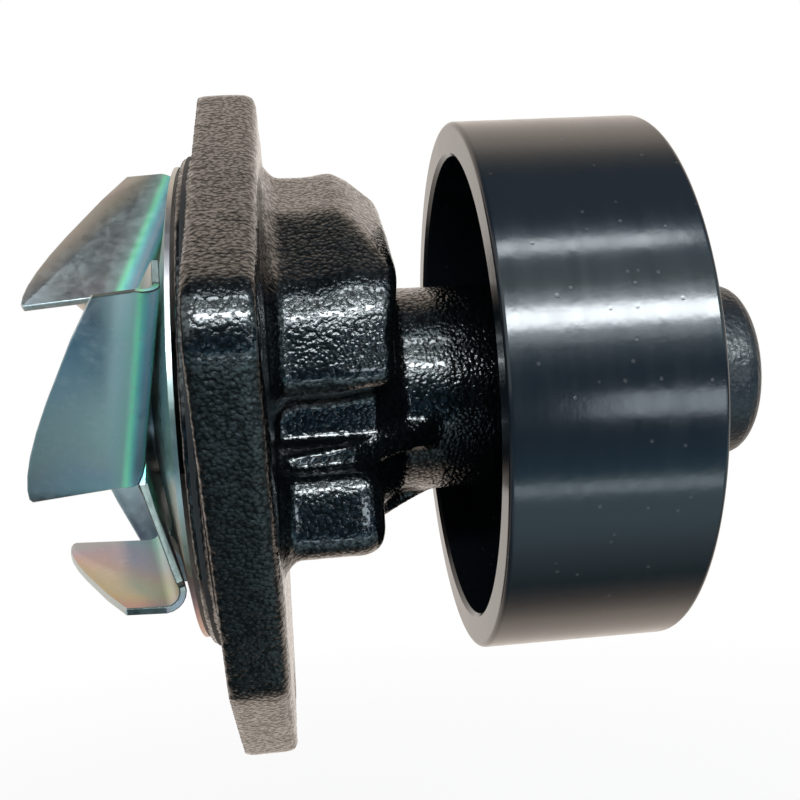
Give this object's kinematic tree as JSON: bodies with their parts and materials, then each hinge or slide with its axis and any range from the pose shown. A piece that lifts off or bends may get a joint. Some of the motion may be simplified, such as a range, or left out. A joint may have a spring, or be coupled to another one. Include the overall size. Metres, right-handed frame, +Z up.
{
  "type": "engine water pump",
  "caption": "Engine water pump with a black cast housing, a smooth black belt pulley and a stamped impeller of folded sheet blades.",
  "frame": {"origin": "centre of the mounting face, on the shaft's axis", "axes": "+X along the shaft towards the pulley, -X into the engine block, +Z up, the near mounting ear at -Y"},
  "size_m": [0.15, 0.133, 0.1469],
  "materials": {
    "black_casting": "gloss black paint over a coarse casting",
    "black_pulley": "smooth gloss black coating",
    "plated_sheet": "stamped steel sheet with a colour-shifting plating",
    "bearing_steel": "ground steel",
    "ball_steel": "polished",
    "brass_sheet": "drawn brass",
    "black_rubber": "moulded rubber",
    "carbon": "lapped carbon",
    "white_ceramic": "lapped ceramic"
  },
  "bodies": {
    "housing": {"housing": "black_casting", "seal_ring": "black_rubber", "bearing_sleeve": "bearing_steel", "front_lip_seal": "black_rubber", "rear_lip_seal": "black_rubber", "seal_case": "brass_sheet", "seal_bellows": "black_rubber", "seal_spring": "bearing_steel", "seal_ferrule": "brass_sheet", "carbon_ring": "carbon"},
    "rotor": {"shaft": "bearing_steel", "slinger": "bearing_steel", "ceramic_seat": "white_ceramic", "seat_cup": "black_rubber", "impeller_hub": "bearing_steel", "impeller_blades": "plated_sheet", "back_disc": "plated_sheet", "pulley": "black_pulley"},
    "front_ball_set": {"front_balls": "ball_steel", "front_cage": "brass_sheet"},
    "rear_ball_set": {"rear_balls": "ball_steel", "rear_cage": "brass_sheet"}
  },
  "joints": [
    {"name": "rotor_spin", "type": "hinge", "parent": "housing", "child": "rotor", "pos_m": [0, 0, 0], "axis": [1, 0, 0], "continuous": true},
    {"name": "front_set_spin", "type": "hinge", "parent": "housing", "child": "front_ball_set", "pos_m": [0, 0, 0], "axis": [1, 0, 0], "continuous": true},
    {"name": "rear_set_spin", "type": "hinge", "parent": "housing", "child": "rear_ball_set", "pos_m": [0, 0, 0], "axis": [1, 0, 0], "continuous": true}
  ],
  "couplings": [
    {"joint": "front_set_spin", "follows": "rotor_spin", "ratio": 0.3477},
    {"joint": "rear_set_spin", "follows": "rotor_spin", "ratio": 0.3477}
  ]
}
